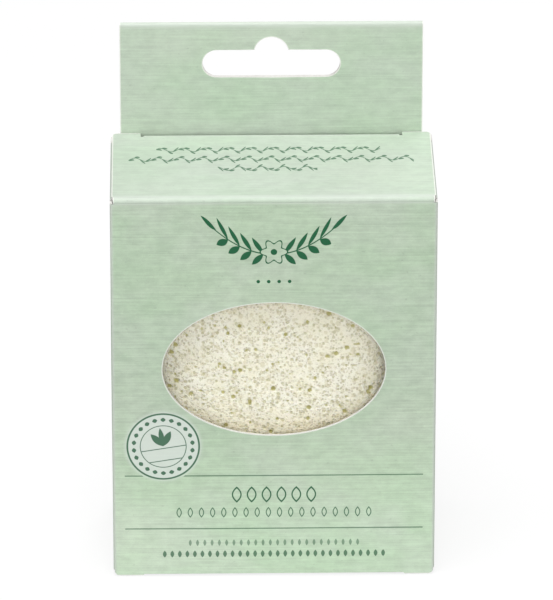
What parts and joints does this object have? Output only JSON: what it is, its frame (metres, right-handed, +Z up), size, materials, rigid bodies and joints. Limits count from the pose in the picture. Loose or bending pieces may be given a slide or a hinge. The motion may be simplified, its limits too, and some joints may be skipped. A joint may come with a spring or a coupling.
{
  "type": "konjac sponge in a windowed hanging carton",
  "caption": "Oblong konjac facial sponge, loose in a tuck-end folding carton with an oval window and a folded-over hang tab with a euro slot.",
  "frame": {"origin": "middle of the shut carton's foot, on the surface it stands on", "axes": "+Z up along the carton to the hang tab, the windowed front faces -Y, +X to the right seen from the front"},
  "size_m": [0.075, 0.04, 0.1235],
  "materials": {
    "board": "matte",
    "glue": "satin",
    "sponge": "matte"
  },
  "bodies": {
    "carton": {"front_panel": "board", "back_panel": "board", "left_side_panel": "board", "right_side_panel": "board", "seam_flap": "board", "seam_glue": "glue", "hang_tab_front_ply": "board", "hang_tab_glue": "glue"},
    "top_lid": {"top_lid": "board"},
    "top_tuck_flap": {"top_tuck_flap": "board"},
    "top_dust_flap_right": {"top_dust_flap_right": "board"},
    "top_dust_flap_left": {"top_dust_flap_left": "board"},
    "bottom_lid": {"bottom_lid": "board"},
    "bottom_tuck_flap": {"bottom_tuck_flap": "board"},
    "bottom_dust_flap_right": {"bottom_dust_flap_right": "board"},
    "bottom_dust_flap_left": {"bottom_dust_flap_left": "board"},
    "konjac_sponge": {"konjac_sponge": "sponge"}
  },
  "joints": [
    {"name": "top_lid_crease", "type": "hinge", "parent": "carton", "child": "top_lid", "pos_m": [0, -0.0191, 0.0951], "axis": [1, 0, 0], "range_deg": [0, 120]},
    {"name": "top_tuck_crease", "type": "hinge", "parent": "top_lid", "child": "top_tuck_flap", "pos_m": [0, 0.01685, 0.0951], "axis": [1, 0, 0], "range_deg": [0, 30]},
    {"name": "top_dust_crease_right", "type": "hinge", "parent": "carton", "child": "top_dust_flap_right", "pos_m": [0.0366, 0, 0.0943], "axis": [0, 1, 0], "range_deg": [0, 36]},
    {"name": "top_dust_crease_left", "type": "hinge", "parent": "carton", "child": "top_dust_flap_left", "pos_m": [-0.0366, 0, 0.0943], "axis": [0, -1, 0], "range_deg": [0, 36]},
    {"name": "bottom_lid_crease", "type": "hinge", "parent": "carton", "child": "bottom_lid", "pos_m": [0, 0.0191, 0.0009], "axis": [1, 0, 0], "range_deg": [0, 120]},
    {"name": "bottom_tuck_crease", "type": "hinge", "parent": "bottom_lid", "child": "bottom_tuck_flap", "pos_m": [0, -0.01755, 0.0009], "axis": [1, 0, 0], "range_deg": [0, 30]},
    {"name": "bottom_dust_crease_right", "type": "hinge", "parent": "carton", "child": "bottom_dust_flap_right", "pos_m": [0.0366, 0, 0.0017], "axis": [0, -1, 0], "range_deg": [0, 36]},
    {"name": "bottom_dust_crease_left", "type": "hinge", "parent": "carton", "child": "bottom_dust_flap_left", "pos_m": [-0.0366, 0, 0.0017], "axis": [0, 1, 0], "range_deg": [0, 36]},
    {"name": "sponge_play", "type": "slide", "parent": "carton", "child": "konjac_sponge", "axis": [0, 0, 1], "range_m": [0, 0.004]}
  ],
  "couplings": [
    {"joint": "top_tuck_crease", "follows": "top_lid_crease", "ratio": 0.25},
    {"joint": "top_dust_crease_right", "follows": "top_lid_crease", "ratio": 0.3},
    {"joint": "top_dust_crease_left", "follows": "top_lid_crease", "ratio": 0.3},
    {"joint": "bottom_tuck_crease", "follows": "bottom_lid_crease", "ratio": 0.25},
    {"joint": "bottom_dust_crease_right", "follows": "bottom_lid_crease", "ratio": 0.3},
    {"joint": "bottom_dust_crease_left", "follows": "bottom_lid_crease", "ratio": 0.3}
  ]
}
